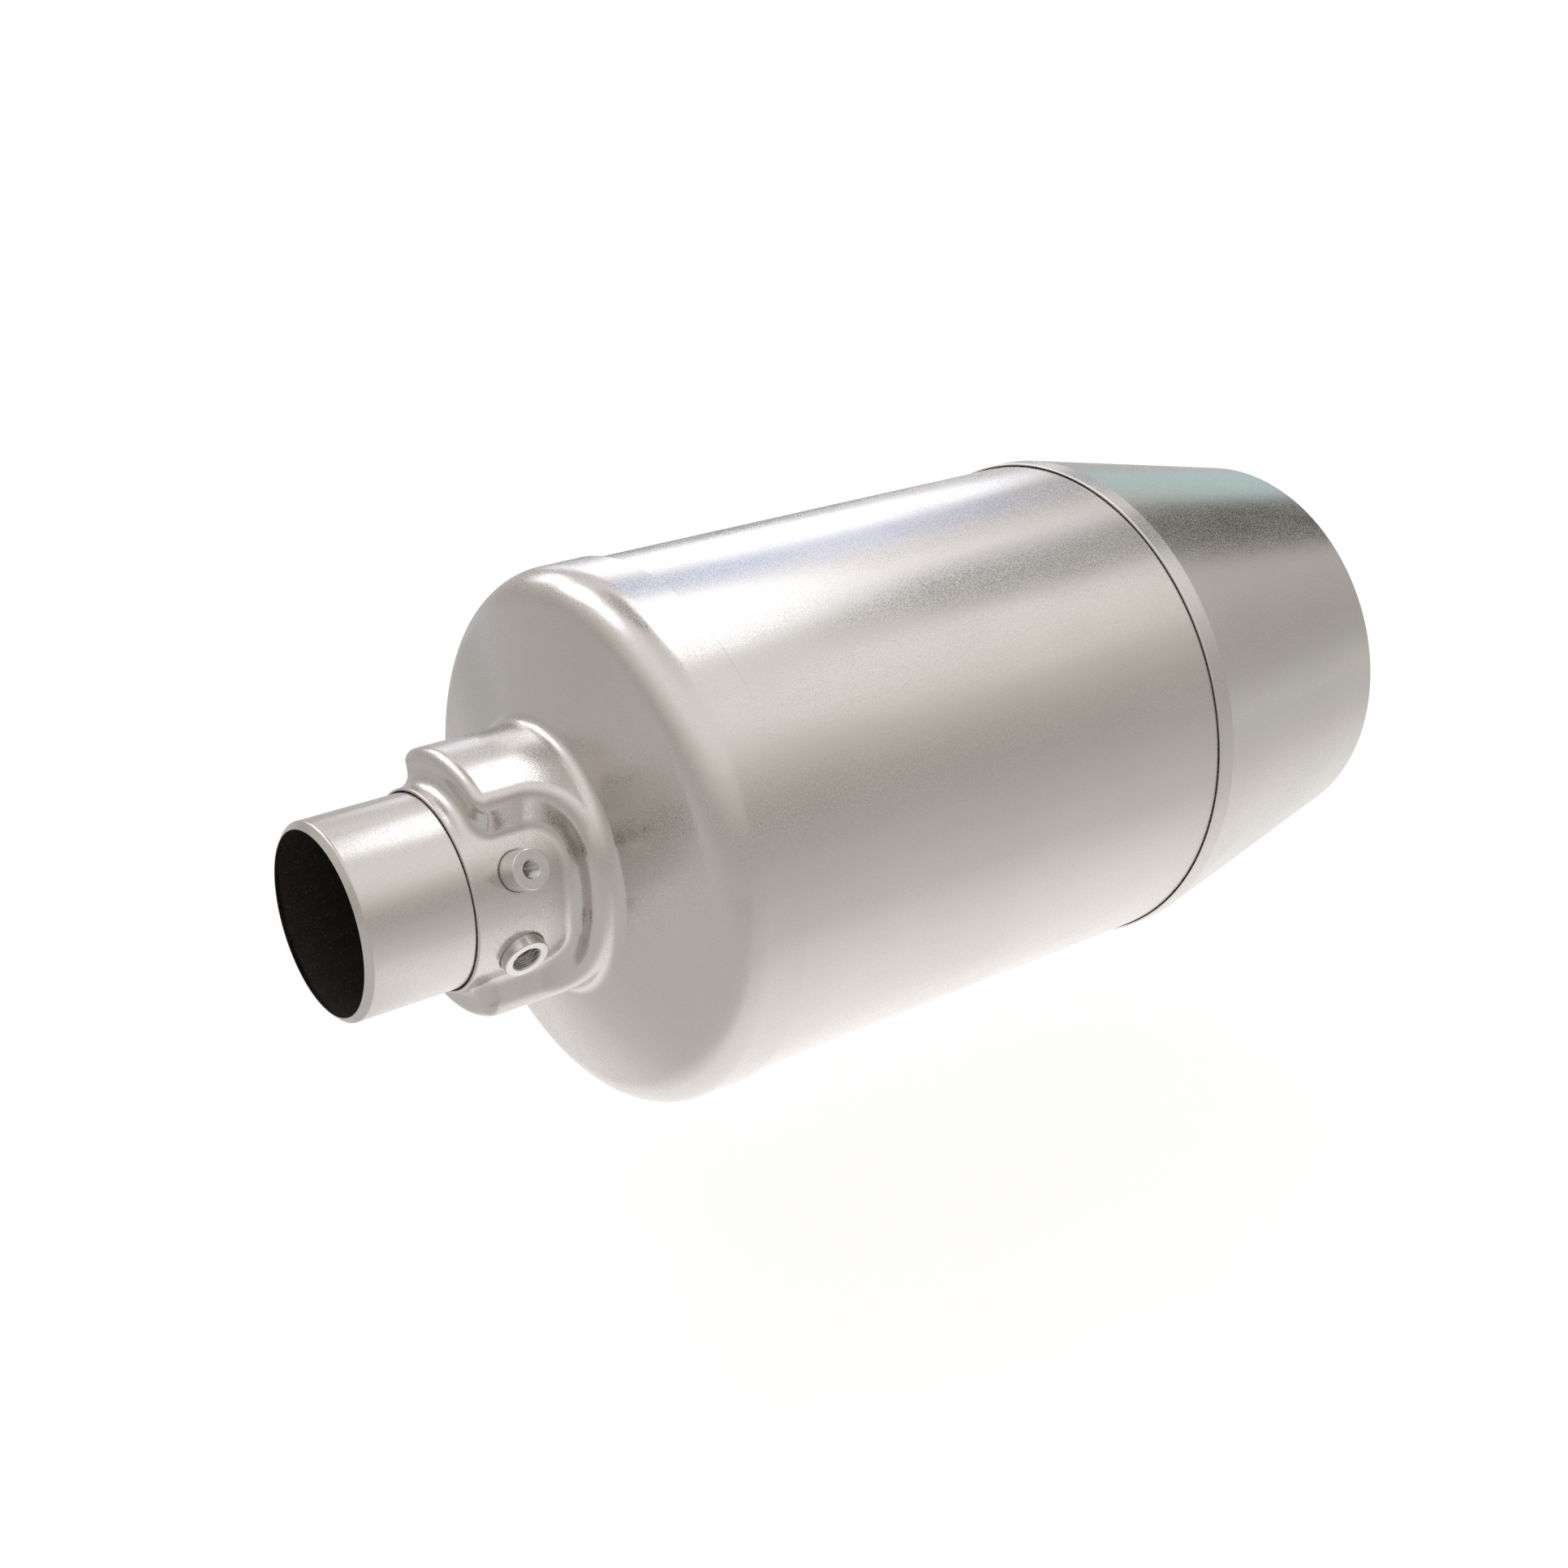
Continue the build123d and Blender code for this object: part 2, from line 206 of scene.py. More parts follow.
@dataclass(frozen=True)
class BlastedSteel:
    """Bead-blasted stainless sheet: satin, finely pitted, with faint clouds in its tone.

    Sizes and depths are in millimetres, and each pair is what the ends of a noise give. The fine
    grain's size and depth are shares of the coarse one's.
    """

    name: str
    colour: Colour = (0.66, 0.63, 0.60)
    roughness: float = 0.25
    grain: float = 1.3
    fine_size: float = 0.8
    pit_depth: float = 0.025
    fine_depth: float = 0.35
    pit_shade_tone: Pair = (0.992, 1.005)
    pit_gloss: Pair = (-0.12, 0.1)
    cloud: float = 120
    cloud_tone: Pair = (0.965, 1.03)
    handling: float = 28
    handling_gloss: Pair = (-0.02, 0.035)
    wave: float = 60
    wave_depth: float = 0.12

    def material(self) -> bpy.types.Material:
        """Builds the material: clouds tint it, grains vary its gloss and tilt it, and painted shade darkens
        the pits a little.

        Returns:
            The material.
        """
        graph = Graph(self.name)
        clouds = graph.noise(self.cloud, 3)
        grain = graph.noise(self.grain, 2, rough=0.6)
        fine = graph.noise(self.grain * self.fine_size, 1)
        handled = graph.noise(self.handling, 4, (0.35, 1.0, 1.0), 0.62)
        tone = graph.tint(graph.spread(clouds, 0.0, 1.0), self.colour, self.cloud_tone)
        # Painted shade: the colour darkens a little where the fine grain lies low, in its pits
        pits = graph.spread(fine, *self.pit_shade_tone, 0.3, 0.62)
        pitted = graph.vector("MULTIPLY", tone, pits)
        gloss = graph.calc("ADD", graph.spread(fine, *self.pit_gloss, 0.38, 0.62), self.roughness)
        gloss = graph.calc("ADD", gloss, graph.spread(handled, *self.handling_gloss, 0.35, 0.65))
        waves = graph.bump(graph.noise(self.wave, 2), self.wave_depth, 0.6)
        coarse = graph.bump(grain, self.pit_depth, 1.0, waves)
        normal = graph.bump(fine, self.pit_depth * self.fine_depth, 0.8, coarse)
        return graph.finish(Base_Color=pitted, Metallic=1.0, Roughness=gloss, Normal=normal)


@dataclass(frozen=True)
class TurnedSteel:
    """Bright machined stainless, with fine turning marks that follow the piece's own UV map.

    Sizes and depths are in millimetres, and each pair is what the ends of a noise give.
    """

    name: str
    colour: Colour = (0.74, 0.73, 0.70)
    roughness: float = 0.27
    feed: float = 0.22
    feed_depth: float = 0.006
    patch: float = 3.0
    patch_tone: Pair = (0.93, 1.04)
    patch_gloss: Pair = (-0.05, 0.07)
    grain: float = 0.7
    grain_depth: float = 0.01

    def material(self) -> bpy.types.Material:
        """Builds the material: a wave along V gives the tool's feed, noise breaks it up.

        Returns:
            The material.
        """
        graph = Graph(self.name)
        feed = graph.node("ShaderNodeTexWave", {
            "Vector": graph.coordinates.outputs["UV"], "Scale": 1 / (WAVE_RADIANS * self.feed * MM),
            "Distortion": 0.6, "Detail": 2.0}, bands_direction="Y").outputs[1]
        patches = graph.noise(self.patch, 3)
        gloss = graph.calc("ADD", graph.spread(patches, *self.patch_gloss), self.roughness)
        tone = graph.tint(patches, self.colour, self.patch_tone)
        marks = graph.bump(feed, self.feed_depth, 0.8)
        normal = graph.bump(graph.noise(self.grain, 2), self.grain_depth, 0.7, marks)
        return graph.finish(Base_Color=tone, Metallic=1.0, Roughness=gloss, Normal=normal)


@dataclass(frozen=True)
class RolledSteel:
    """Dull rolled stainless inside the casing, streaked along its rolling direction.

    Sizes and depths are in millimetres, and each pair is what the ends of a noise give.
    """

    name: str
    colour: Colour = (0.42, 0.40, 0.38)
    roughness: float = 0.42
    metal: float = 1.0
    speckle: float = 0.25
    speck: float = 1.1
    speck_colour: Colour = (0.62, 0.58, 0.52)
    streak: float = 5.0
    streak_tone: Pair = (0.84, 1.12)
    streak_gloss: Pair = (-0.06, 0.08)
    streak_depth: float = 0.02
    stain: float = 45
    stain_tone: float = 0.7
    grain: float = 1.4
    grain_depth: float = 0.03

    def material(self) -> bpy.types.Material:
        """Builds the material: long streaks vary tone and gloss, light specks lie on top.

        Returns:
            The material.
        """
        graph = Graph(self.name)
        streaks = graph.noise(self.streak, 4, (0.08, 1.0, 1.0), 0.6)
        stains = graph.noise(self.stain, 4)
        tone = graph.tint(graph.spread(streaks, 0.0, 1.0), self.colour, self.streak_tone)
        stained = graph.spread(stains, 0.0, 0.35, 0.4, 0.7)
        tone = graph.blend(stained, tone, shaded(self.colour, self.stain_tone))
        specks = graph.spread(graph.noise(self.speck, 1), 0.0, self.speckle, 0.62, 0.74)
        tone = graph.blend(specks, tone, self.speck_colour)
        gloss = graph.calc("ADD", graph.spread(streaks, *self.streak_gloss), self.roughness)
        rolled = graph.bump(streaks, self.streak_depth, 0.7)
        normal = graph.bump(graph.noise(self.grain, 2), self.grain_depth, 0.8, rolled)
        return graph.finish(Base_Color=tone, Metallic=self.metal, Roughness=gloss, Normal=normal)


@dataclass(frozen=True)
class Honeycomb:
    """Coated ceramic honeycomb, with open cells on the faces square to X, painted near-black as the shade
    inside their channels.

    Sizes and depths are in millimetres, and the pair is what the ends of a noise give.
    """

    name: str
    colour: Colour = (0.62, 0.53, 0.40)
    channel_shade_colour: Colour = (0.035, 0.03, 0.024)
    pitch: float = 1.47
    wall: float = 0.22
    cell_depth: float = 0.4
    coat: float = 9
    coat_tone: Pair = (0.82, 1.1)
    square: float = 0.9

    def material(self) -> bpy.types.Material:
        """Builds the material: a cell is painted dark, as the shade in its open channel, where both Y and Z
        stand clear of the walls of the grid.

        Returns:
            The material.
        """
        graph = Graph(self.name)
        split = graph.node("ShaderNodeSeparateXYZ", {0: graph.coordinates.outputs["Object"]})
        clear = []
        for axis in (1, 2):
            step = graph.calc("PINGPONG", graph.calc("ADD", split.outputs[axis], 1.0), self.pitch * MM / 2)
            clear.append(graph.spread(step, 0.0, 1.0, self.wall * MM / 2, self.wall * MM))
        faces = graph.node("ShaderNodeSeparateXYZ", {0: graph.coordinates.outputs["Normal"]}).outputs[0]
        front = graph.calc("GREATER_THAN", graph.calc("ABSOLUTE", faces), self.square)
        # Painted shade: the open cells get a near-black colour for the shade down their channels
        hole = graph.calc("MULTIPLY", graph.calc("MULTIPLY", clear[0], clear[1]), front)
        coat = graph.tint(graph.noise(self.coat, 4), self.colour, self.coat_tone)
        tone = graph.blend(hole, coat, self.channel_shade_colour)
        solid = graph.calc("SUBTRACT", 1.0, hole)
        normal = graph.bump(solid, self.cell_depth, 0.7, graph.bump(graph.noise(0.5, 3), 0.03))
        return graph.finish(Base_Color=tone, Roughness=0.85, Normal=normal)


@dataclass(frozen=True)
class FibreFelt:
    """Compressed ceramic fibre: matt, off-white, with short crossing fibres, sizes in millimetres."""

    name: str
    colour: Colour = (0.84, 0.82, 0.77)
    fibre: float = 2.2
    fibre_depth: float = 0.35
    fibre_shade_tone: float = 0.8
    lump: float = 14
    lump_depth: float = 0.9
    lump_tone: float = 0.88

    def material(self) -> bpy.types.Material:
        """Builds the material: two noises stretched across each other stand for the fibres.

        Returns:
            The material.
        """
        graph = Graph(self.name)
        along = graph.noise(self.fibre, 4, (0.2, 1.0, 1.0), 0.7)
        across = graph.noise(self.fibre, 4, (1.0, 0.25, 0.25), 0.7)
        felt = graph.calc("MULTIPLY", graph.calc("ADD", along, across), 0.5)
        lumps = graph.noise(self.lump, 3)
        # Painted shade: the felt's colour darkens in the hollows between the fibres
        shadow = shaded(self.colour, self.fibre_shade_tone)
        tone = graph.blend(graph.spread(felt, 0.0, 1.0, 0.35, 0.65), shadow, self.colour)
        tone = graph.blend(graph.spread(lumps, 0.0, 0.3), tone, shaded(self.colour, self.lump_tone))
        normal = graph.bump(felt, self.fibre_depth, 0.8, graph.bump(lumps, self.lump_depth, 0.6))
        return graph.finish(Base_Color=tone, Roughness=0.95, Sheen_Weight=0.15, Normal=normal)


# Surfaces


def quads(rows: int, columns: int, loop_rows: bool) -> np.ndarray:
    """Corner numbers of a grid of quads that closes on itself across its columns.

    Args:
        rows: number of rows of points.
        columns: number of points in a row.
        loop_rows: True where the last row joins the first.

    Returns:
        Row and column of each quad's four corners, before the last ones wrap round: shape (n, 4, 2).
    """
    steps = rows if loop_rows else rows - 1
    row, column = np.meshgrid(np.arange(steps), np.arange(columns), indexing="ij")
    corners = [(0, 0), (1, 0), (1, 1), (0, 1)]
    return np.stack([np.stack([row + i, column + j], -1) for i, j in corners], -2).reshape(-1, 4, 2)


def skin(name: str, points: np.ndarray, marks: np.ndarray, loop_rows: bool, shade: Shade,
         keep: Optional[np.ndarray] = None) -> bpy.types.Object:
    """Puts a grid of points into a mesh object at the origin.

    The grid's rows run along a profile and its columns round an axis, so a face points to the side
    that the cross product of a step down the rows and a step along the columns points to.

    Args:
        name: the piece's name.
        points: places in millimetres, shape (rows, columns, 3).
        marks: distance along the profile of each row, which becomes V, in millimetres.
        loop_rows: True where the last row joins the first.
        shade: how the mesh is shaded.
        keep: for each quad, whether it stays; None keeps all.

    Returns:
        The object, in metres.
    """
    rows, columns = points.shape[:2]
    corners = quads(rows, columns, loop_rows)
    if keep is not None:
        corners = corners[keep]
    numbers = (corners[..., 0] % rows) * columns + corners[..., 1] % columns
    used, faces = np.unique(numbers, return_inverse=True)
    faces = faces.reshape(-1, 4)
    places = points.reshape(-1, 3)[used] * MM
    mesh = bpy.data.meshes.new(name)
    mesh.from_pydata(places.tolist(), [], faces.tolist())
    reach = np.append(marks, marks[-1] + 1.0) * MM
    layer = mesh.uv_layers.new(name="turned")
    pairs = np.stack([corners[..., 1] / columns, reach[corners[..., 0]]], -1)
    layer.data.foreach_set("uv", pairs.reshape(-1).astype(np.float32))
    mesh.shade_smooth()
    if shade is not Shade.SKIN:
        mesh.set_sharp_from_angle(angle=math.radians(shade.value))
    piece = bpy.data.objects.new(name, mesh)
    bpy.context.scene.collection.objects.link(piece)
    return piece


def run_marks(profile: np.ndarray) -> np.ndarray:
    """Distance travelled along a profile at each of its points."""
    steps = np.linalg.norm(np.diff(profile, axis=0), axis=1)
    return np.concatenate([[0.0], np.cumsum(steps)])


def even_runs(runs: Sequence[tuple[float, int]], end: float) -> np.ndarray:
    """Values in even steps, one run after the other.

    Args:
        runs: where each run starts and how many steps it takes to the start of the next.
        end: the last value.

    Returns:
        The values, from the first run's start to the end.
    """
    stops = [start for start, _ in runs[1:]] + [end]
    parts = [np.linspace(start, stop, count, endpoint=False) for (start, count), stop in zip(runs, stops)]
    return np.append(np.concatenate(parts), end)


def bent_profile(corners: Sequence[Corner], closed: bool, turn_step: float = 9.0) -> np.ndarray:
    """Profile of straight runs joined by circular bends.

    A bend is the circle of its radius that touches both runs: it starts the radius times the tangent of
    half the turn before the corner, and its points stand evenly round its centre. A run gets points
    close to both ends, so that the bend's shading stays in the bend.

    Args:
        corners: station, radius and bend radius of each corner.
        closed: True where the last corner joins the first.
        turn_step: degrees between two points of a bend.

    Returns:
        The profile's points, shape (n, 2).
    """
    places = np.array([corner[:2] for corner in corners], dtype=float)
    count = len(places)
    bends = []
    for index, (_, _, bend) in enumerate(corners):
        here = places[index]
        if bend == 0 or (not closed and index in (0, count - 1)):
            bends.append(here[None])
            continue
        before = here - places[index - 1]
        after = places[(index + 1) % count] - here
        before, after = before / np.linalg.norm(before), after / np.linalg.norm(after)
        turn = math.atan2(before[0] * after[1] - before[1] * after[0], float(before @ after))
        start = here - before * bend * math.tan(abs(turn) / 2)
        centre = start + math.copysign(bend, turn) * np.array([-before[1], before[0]])
        angles = np.linspace(0, turn, max(3, math.ceil(abs(turn) / math.radians(turn_step)) + 1))
        arm = start - centre
        bends.append(centre + np.stack([
            arm[0] * np.cos(angles) - arm[1] * np.sin(angles),
            arm[0] * np.sin(angles) + arm[1] * np.cos(angles)], -1))
    runs = []
    for index, bend in enumerate(bends):
        runs.append(bend)
        if closed or index < count - 1:
            run = bends[(index + 1) % count][0] - bend[-1]
            length = float(np.linalg.norm(run))
            if length > SHORT_RUN:
                even = np.linspace(BEND_GUARD, length - BEND_GUARD, max(2, math.ceil(length / LONG_STEP)))
                runs.append(bend[-1] + run * (even / length)[:, None])
    return np.concatenate(runs)


def sheet_profile(corners: Sequence[Corner], thickness: float) -> np.ndarray:
    """Closed profile of a bent sheet: its outer side, then its inner side run back.

    The inner side lies the thickness away along the outer side's normal, which is its tangent
    turned a quarter towards the axis.

    Args:
        corners: the outer side's corners, from the outlet to the inlet.
        thickness: the sheet's thickness.

    Returns:
        The profile's points, shape (n, 2).
    """
    outer = bent_profile(corners, closed=False)
    tangent = np.gradient(outer, axis=0)
    tangent = tangent / np.linalg.norm(tangent, axis=1)[:, None]
    inner = outer + thickness * np.stack([tangent[:, 1], -tangent[:, 0]], -1)
    return np.concatenate([outer, inner[::-1]])


def turned(name: str, profile: np.ndarray, columns: int = 240) -> bpy.types.Object:
    """Turns a closed profile about X.

    A point at station s, radius r and angle a lies at (s, -r cos a, r sin a).

    Args:
        name: the piece's name.
        profile: the closed profile, its outer side running from the outlet to the inlet.
        columns: points round the axis.

    Returns:
        The piece.
    """
    angles = np.linspace(-math.pi, math.pi, columns, endpoint=False)
    station, radius = profile[:, :1], profile[:, 1:]
    points = np.stack([
        station + 0 * angles, -radius * np.cos(angles), radius * np.sin(angles)], -1)
    return skin(name, points, run_marks(profile), True, Shade.EDGED)


def settle(piece: bpy.types.Object, node: str, material: bpy.types.Material) -> None:
    """Dresses a new piece and lets it stand for its CAD node.

    Args:
        piece: the new piece.
        node: the CAD node that it replaces.
        material: its material.
    """
    piece.data.materials.append(material)
    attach(piece, "root")
    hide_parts(node)
    log.info("%s: %d vertices, stands for %s", piece.name, len(piece.data.vertices), node)


def dress(nodes: Sequence[str], material: bpy.types.Material) -> None:
    """Gives CAD nodes whose shape stays a finish.

    Args:
        nodes: the nodes' names.
        material: their material.
    """
    for name in nodes:
        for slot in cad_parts[name].material_slots:
            slot.material = material
        log.info("%s: CAD node with %s", name, material.name)


# Sub-assemblies


@dataclass
class OutletPipe:
    """Pipe end with its swaged lead-in; the bore carries a near-black skin, painted shade for the dark inside
    of the pipe.
    """

    radius: float = 63.5
    tube_radius: float = 62.95
    wall: float = 2.0
    mouth_radius: float = 58.8
    mouth_land: float = 0.6
    lead_in: float = 3.7
    lead_in_inner: float = 4.3
    sized_end: float = 72.3
    tube_start: float = 74.3
    length: float = 171.02
    skin_depth: float = 0.5

    def seam(self) -> list[Corner]:
        """Line inside the wall where the two skins meet.

        Returns:
            Its corners, from the mouth on.
        """
        steps = ((self.lead_in_inner + 1.0, self.radius), (self.sized_end, self.radius),
                 (self.tube_start, self.tube_radius), (self.length, self.tube_radius))
        return [(station, radius - self.skin_depth, 0.0) for station, radius in steps]

    def outside(self) -> np.ndarray:
        """Outer skin, with the mouth's edge and the light strip just inside it.

        Returns:
            Its closed profile.
        """
        return bent_profile([
            (0.0, self.mouth_radius + self.mouth_land, 0.25), (self.lead_in, self.radius, 2.2),
            (self.sized_end, self.radius, 0.6), (self.tube_start, self.tube_radius, 0.6),
            (self.length, self.tube_radius, 0.3), *reversed(self.seam()),
            (self.lead_in_inner, self.radius - self.wall, 0.0), (0.0, self.mouth_radius, 0.25)], True)

    def bore(self) -> np.ndarray:
        """Inner skin, which meets the outer one inside the wall.

        Returns:
            Its closed profile.
        """
        return bent_profile([
            *self.seam(), (self.length, self.tube_radius - self.wall, 0.4),
            (self.tube_start, self.tube_radius - self.wall, 0.6),
            (self.sized_end, self.radius - self.wall, 0.6),
            (self.lead_in_inner, self.radius - self.wall, 0.0)], True)

    def build(self, outer: bpy.types.Material, inner: bpy.types.Material) -> None:
        """Builds both skins: the outside with its finish, the bore with its painted shade."""
        settle(turned("outlet_pipe_outside", self.outside()), "outlet_pipe", outer)
        settle(turned("outlet_pipe_bore", self.bore()), "outlet_pipe", inner)


@dataclass
class Solid:
    """A solid, by its signed distance, below nought inside it, and its outward direction at each point."""

    distance: np.ndarray
    outward: np.ndarray
    steepest: ClassVar[float] = 0.95

    def __neg__(self) -> "Solid":
        """Everything outside the solid."""
        return Solid(-self.distance, -self.outward)

    def meet(self, other: "Solid", bend: float) -> "Solid":
        """Common part with another solid, with their shared edge rounded.

        Both distances are taken to sides moved in by the bend radius. Where a point lies beyond both,
        its distance to their shared edge counts, which the law of cosines gives, and elsewhere the
        larger of the two; then the radius is taken off again. Sides that are nearly parallel count as
        leaning by the steepest cosine, so that nothing is divided by nought.

        Args:
            other: the second solid.
            bend: radius of the rounded edge.

        Returns:
            The common part.
        """
        lean = np.clip((self.outward * other.outward).sum(-1), -self.steepest, self.steepest)
        a, b = self.distance + bend, other.distance + bend
        past_a, past_b = a - b * lean, b - a * lean
        beyond = (past_a > 0) & (past_b > 0)
        sine = 1 - lean ** 2
        edge = np.sqrt(np.maximum(a ** 2 + b ** 2 - 2 * a * b * lean, 1e-12) / sine)
        out = past_a[..., None] * self.outward + past_b[..., None] * other.outward
        out = out / (edge * sine)[..., None]
        side = np.where((a > b)[..., None], self.outward, other.outward)
        distance = np.where(beyond, edge, np.maximum(a, b)) - bend
        return Solid(distance, np.where(beyond[..., None], out, side))

    def join(self, other: "Solid", bend: float) -> "Solid":
        """Both solids together, with the hollow where they meet filleted."""
        return -((-self).meet(-other, bend))


@dataclass
class Hole:
    """Round hole in the pocket's floor: where its axis stands and how wide it is."""

    station: float
    angle: float
    radius: float


@dataclass
class EndHousing:
    """Deep drawn sheet: collar, neck with a pocket pressed into each side, conical face, knuckle and cap.

    The outer side is where a signed distance is nought. The distance is put together from planes,
    cylinders and a cone, and wherever two of them meet they are joined by a circle of the bend's radius.
    The sensors stand in the pocket towards -Y; the one towards +Y mirrors it.
    """

    sheet: float = 2.4
    collar_start: float = 72.6
    collar_lip: float = 1.4
    floor_radius: float = 66.0
    neck_start: float = 86.0
    neck_radius: float = 87.4
    neck_length: float = 72.4
    shoulder: float = 8.0
    face_slope: float = 14.9
    face_fillet: float = 9.0
    cap_radius: float = 179.98
    cap_end: float = 234.04
    cap_lip: float = 0.2
    knuckle: float = 27.5
    wall_depth: float = 36.1
    wall_draft: float = 10.0
    pocket_end: float = 143.5
    back_corner: float = 26.0
    rim: float = 11.0
    floor_bend: float = 9.5
    holes: tuple[Hole, ...] = (Hole(105.1, 25.0, 12.95), Hole(105.1, -25.0, 15.35))
    column_runs: tuple[tuple[float, int], ...] = (
        (0.0, 40), (40.0, 56), (68.0, 16), (112.0, 35), (140.0, 17))
    row_runs: tuple[tuple[float, int], ...] = (
        (140.0, 5), (151.0, 32), (190.0, 7), (203.0, 47), (262.0, 14), (330.0, 24), (392.0, 6))
    search: Pair = (58.0, 186.0)
    halvings: int = 34
    lip_steps: int = 6

    def distance(self, station: np.ndarray, radius: np.ndarray, angle: np.ndarray) -> np.ndarray:
        """Signed distance from the filled housing's outer side, below nought inside it.

        Args:
            station: distance along X.
            radius: distance from X.
            angle: angle round X from -Y, in radians.

        Returns:
            The distance, as an array of the same shape.
        """
        slope, draft = math.radians(self.face_slope), math.radians(self.wall_draft)
        nought = 0 * angle
        across, up = radius * np.cos(angle), radius * np.sin(angle)
        ahead = np.stack([nought - 1, nought, nought], -1)
        radial = np.stack([nought, -np.cos(angle), np.sin(angle)], -1)
        face_base = self.neck_start + self.neck_length - self.neck_radius * math.tan(slope)
        face = Solid((face_base + radius * math.tan(slope) - station) * math.cos(slope),
                     ahead * math.cos(slope) + radial * math.sin(slope))
        neck = Solid(radius - self.neck_radius, radial).meet(
            Solid(self.neck_start - station, ahead), self.shoulder)
        cap = Solid(radius - self.cap_radius, radial).meet(face, self.knuckle)
        body = neck.join(cap, self.face_fillet)

        depth = np.abs(across) - self.wall_depth - np.abs(up) * math.tan(draft)
        inward = np.stack([
            nought, np.sign(across) * math.cos(draft), np.sign(up) * math.sin(draft)], -1)
        wall = Solid(-depth * math.cos(draft), inward)
        space = wall.meet(Solid(station - self.pocket_end, -ahead), self.back_corner)
        floor = Solid(radius - self.floor_radius, radial).meet(
            Solid(self.collar_start - station, ahead), self.collar_lip)
        return body.meet(-space, self.rim).join(floor, self.floor_bend).distance

    def columns(self) -> np.ndarray:
        """Angles of the columns from -Y, in radians, closest together at the pockets' side walls."""
        right = even_runs(self.column_runs, 180.0)
        return np.radians(np.concatenate([-right[-2:0:-1], right]))

    def rows(self) -> np.ndarray:
        """Sums of station and radius of the rows, closest together where the sheet bends sharply."""
        last = self.cap_end - self.cap_lip + self.cap_radius
        return even_runs([*self.row_runs, (last - BEND_GUARD, 1)], last)

    def surface(self) -> tuple[np.ndarray, np.ndarray, np.ndarray]:
        """Station, radius and angle of the outer side's points.

        A row holds the points whose station and radius have one sum, so each lies on a line that leans
        out and back at 45 degrees and leaves the metal once. Halving finds where the distance is nought.
        The two lips are quarter circles put on before and after.

        Returns:
            Three arrays of shape (rows, columns).
        """
        total, angle = np.meshgrid(self.rows(), self.columns(), indexing="ij")
        low, high = (np.full(total.shape, end) for end in self.search)
        for _ in range(self.halvings):
            middle = (low + high) / 2
            inside = self.distance(total - middle, middle, angle) < 0
            low, high = np.where(inside, middle, low), np.where(inside, high, middle)
        radius = (low + high) / 2
        station = total - radius
        first = np.radians(np.linspace(90, 12, self.lip_steps))[:, None] + 0 * angle[:1]
        last = np.radians(np.linspace(15, 90, self.lip_steps))[:, None] + 0 * angle[:1]
        start, end = self.collar_start + self.collar_lip, self.cap_end - self.cap_lip
        station = np.concatenate([
            start - self.collar_lip * np.sin(first), station, end + self.cap_lip * np.sin(last)])
        radius = np.concatenate([
            self.floor_radius - self.collar_lip * (1 - np.cos(first)), radius,
            self.cap_radius - self.cap_lip * (1 - np.cos(last))])
        return station, radius, np.broadcast_to(angle[:1], station.shape)

    def open_holes(self, station: np.ndarray, radius: np.ndarray,
                   angle: np.ndarray) -> tuple[np.ndarray, np.ndarray, np.ndarray]:
        """Opens the round holes for the bosses.

        Seen along a hole's axis a point lies at its station and its radius times the sine of its angle
        from the axis. Quads whose middle is nearer than the hole's radius go, and the points at the new
        edge move straight out or in to the circle.

        Args:
            station: stations of the points.
            radius: radii of the points.
            angle: angles of the points.

        Returns:
            The moved stations and angles, and for each quad whether it stays.
        """
        rows, columns = station.shape
        reach, above, far = 0.6, 4.0, 1e3
        corners = quads(rows, columns, False)
        numbers = corners[..., 0] * columns + corners[..., 1] % columns
        keep = np.ones(len(corners), dtype=bool)
        station, angle = station.copy(), angle.copy()
        for hole in self.holes:
            centre = math.radians(hole.angle)
            along = station - hole.station
            across = radius * np.sin(angle - centre)
            near = (np.abs(angle - centre) < reach) & (radius < self.floor_radius + above)
            gap = np.where(near, np.hypot(along, across), far)
            gone = gap.ravel()[numbers].mean(axis=1) < hole.radius
            keep &= ~gone
            inner = np.zeros(station.size, dtype=bool)
            outer = np.zeros(station.size, dtype=bool)
            inner[numbers[gone].ravel()] = True
            outer[numbers[~gone].ravel()] = True
            edge = (inner & outer).reshape(station.shape)
            pull = np.where(edge, hole.radius / np.maximum(gap, 1e-6), 1.0)
            station = np.where(edge, hole.station + along * pull, station)
            angle = np.where(edge, centre + np.arcsin(np.clip(across * pull / radius, -1, 1)), angle)
        return station, angle, keep

    def build(self, material: bpy.types.Material) -> None:
        """Builds the sheet: the outer side, thickened inwards.

        Args:
            material: its finish.
        """
        station, radius, angle = self.surface()
        station, angle, keep = self.open_holes(station, radius, angle)
        points = np.stack([station, -radius * np.cos(angle), radius * np.sin(angle)], -1)
        marks = run_marks(np.stack([station[:, 0], radius[:, 0]], -1))
        piece = skin("end_housing_sheet", points, marks, False, Shade.SKIN, keep)
        thick = piece.modifiers.new("sheet", "SOLIDIFY")
        thick.thickness = self.sheet * MM
        thick.offset = -1.0
        settle(piece, "end_housing", material)


class Thread(Enum):
    """Metric fine threads of the two ports: pitch and major radius."""

    M12 = (1.25, 6.0)
    M20 = (1.5, 10.0)


